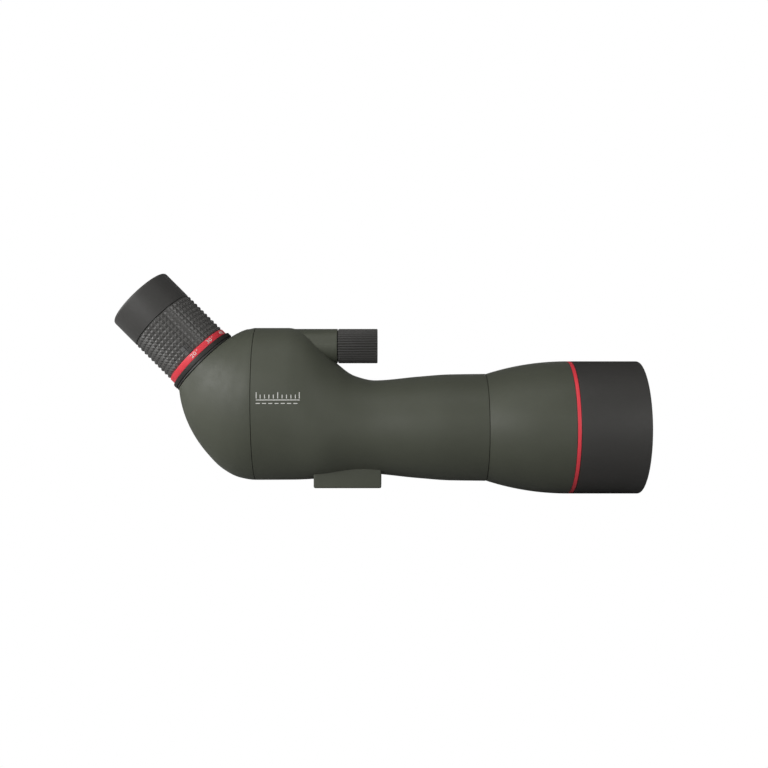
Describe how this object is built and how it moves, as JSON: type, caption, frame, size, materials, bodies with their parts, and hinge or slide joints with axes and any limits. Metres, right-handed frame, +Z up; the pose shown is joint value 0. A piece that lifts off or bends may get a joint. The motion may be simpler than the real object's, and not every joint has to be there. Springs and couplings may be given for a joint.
{
  "type": "spotting scope",
  "caption": "Angled zoom spotting scope with a flared objective, sliding sunshade, focus knob on a turret, knurled zoom eyepiece with twist-up eyecup, and a tripod foot.",
  "frame": {"origin": "centre of the tripod foot's lower face", "axes": "+X along the optical axis towards the objective, +Z up away from the foot, +Y completes a right-handed frame"},
  "size_m": [0.3388, 0.086, 0.1422],
  "materials": {
    "olive_armour": "satin olive-green moulded armour",
    "black_rubber": "matte moulded rubber",
    "black_plastic": "fine matte black plastic",
    "red_anodised": "satin red anodised",
    "black_anodised": "matte black anodised",
    "coated_glass": "polished and coated",
    "brass": "turned",
    "steel": "turned",
    "felt": "black flocking"
  },
  "bodies": {
    "scope": {"main_body": "olive_armour", "prism_cover": "olive_armour", "objective_barrel": "olive_armour", "front_seam_gasket": "black_rubber", "rear_seam_gasket": "black_rubber", "focus_shaft_seal": "black_rubber", "eyepiece_collar": "black_plastic", "eye_lens_housing": "black_plastic", "objective_trim_ring": "red_anodised", "objective_cell": "black_anodised", "lens_spacer": "black_anodised", "objective_retaining_ring": "black_anodised", "front_baffle": "black_anodised", "rear_baffle": "black_anodised", "chassis_plate": "black_anodised", "prism_frame": "black_anodised", "prism_clamp": "black_anodised", "eyepiece_inner_tube": "black_anodised", "field_stop": "black_anodised", "eye_lens_ring": "black_anodised", "crown_lens": "coated_glass", "flint_lens": "coated_glass", "roof_prism": "coated_glass", "eye_lens": "coated_glass", "tripod_insert": "brass", "focus_bush": "brass", "focus_guide_rod": "steel", "prism_screw_left": "steel", "prism_screw_right": "steel", "eyepiece_lock_nut": "steel", "sunshade_felt_ring": "felt"},
    "focus_knob": {"focus_knob_grip": "black_rubber", "focus_knob_hub": "black_plastic", "focus_knob_cap": "black_plastic", "focus_knob_screw": "steel", "focus_spindle": "steel"},
    "focus_lens_unit": {"focus_carriage": "black_anodised", "focus_lens": "coated_glass", "focus_lens_ring": "black_anodised"},
    "zoom_ring": {"zoom_grip": "black_rubber", "zoom_scale_ring": "red_anodised", "zoom_barrel": "black_anodised", "zoom_cam_tube": "black_anodised"},
    "zoom_front_group": {"zoom_front_cell": "black_anodised", "zoom_front_lens": "coated_glass", "zoom_front_pin": "brass"},
    "zoom_rear_group": {"zoom_rear_cell": "black_anodised", "zoom_rear_lens": "coated_glass", "zoom_rear_pin": "brass"},
    "eyecup_lift": {"eyecup_lift_ring": "black_plastic"},
    "eyecup": {"eyecup_sleeve": "black_plastic", "eyecup_rubber": "black_rubber"},
    "sunshade": {"sunshade_tube": "black_plastic"}
  },
  "joints": [
    {"name": "focus_turn", "type": "hinge", "parent": "scope", "child": "focus_knob", "pos_m": [0, 0, 0.09135], "axis": [1, 0, 0], "range_deg": [-450, 450]},
    {"name": "focus_slide", "type": "slide", "parent": "scope", "child": "focus_lens_unit", "axis": [1, 0, 0], "range_m": [-0.006, 0.006]},
    {"name": "zoom_turn", "type": "hinge", "parent": "scope", "child": "zoom_ring", "pos_m": [-0.0518, 0, 0.03845], "axis": [-0.7071, 0, 0.7071], "range_deg": [-50, 87]},
    {"name": "zoom_front_slide", "type": "slide", "parent": "scope", "child": "zoom_front_group", "axis": [-0.7071, 0, 0.7071], "range_m": [-0.0031, 0.0054]},
    {"name": "zoom_rear_slide", "type": "slide", "parent": "scope", "child": "zoom_rear_group", "axis": [-0.7071, 0, 0.7071], "range_m": [-0.0046, 0.0027]},
    {"name": "eyecup_rise", "type": "slide", "parent": "scope", "child": "eyecup_lift", "axis": [-0.7071, 0, 0.7071], "range_m": [0, 0.01]},
    {"name": "eyecup_twist", "type": "hinge", "parent": "eyecup_lift", "child": "eyecup", "pos_m": [-0.0518, 0, 0.03845], "axis": [-0.7071, 0, 0.7071], "range_deg": [0, 270]},
    {"name": "sunshade_slide", "type": "slide", "parent": "scope", "child": "sunshade", "axis": [1, 0, 0], "range_m": [0, 0.03]}
  ],
  "couplings": [
    {"joint": "focus_slide", "follows": "focus_turn", "m_per_rad": 0.00076},
    {"joint": "zoom_front_slide", "follows": "zoom_turn", "m_per_rad": 0.0035},
    {"joint": "zoom_rear_slide", "follows": "zoom_turn", "m_per_rad": -0.003},
    {"joint": "eyecup_rise", "follows": "eyecup_twist", "m_per_rad": 0.00212}
  ]
}
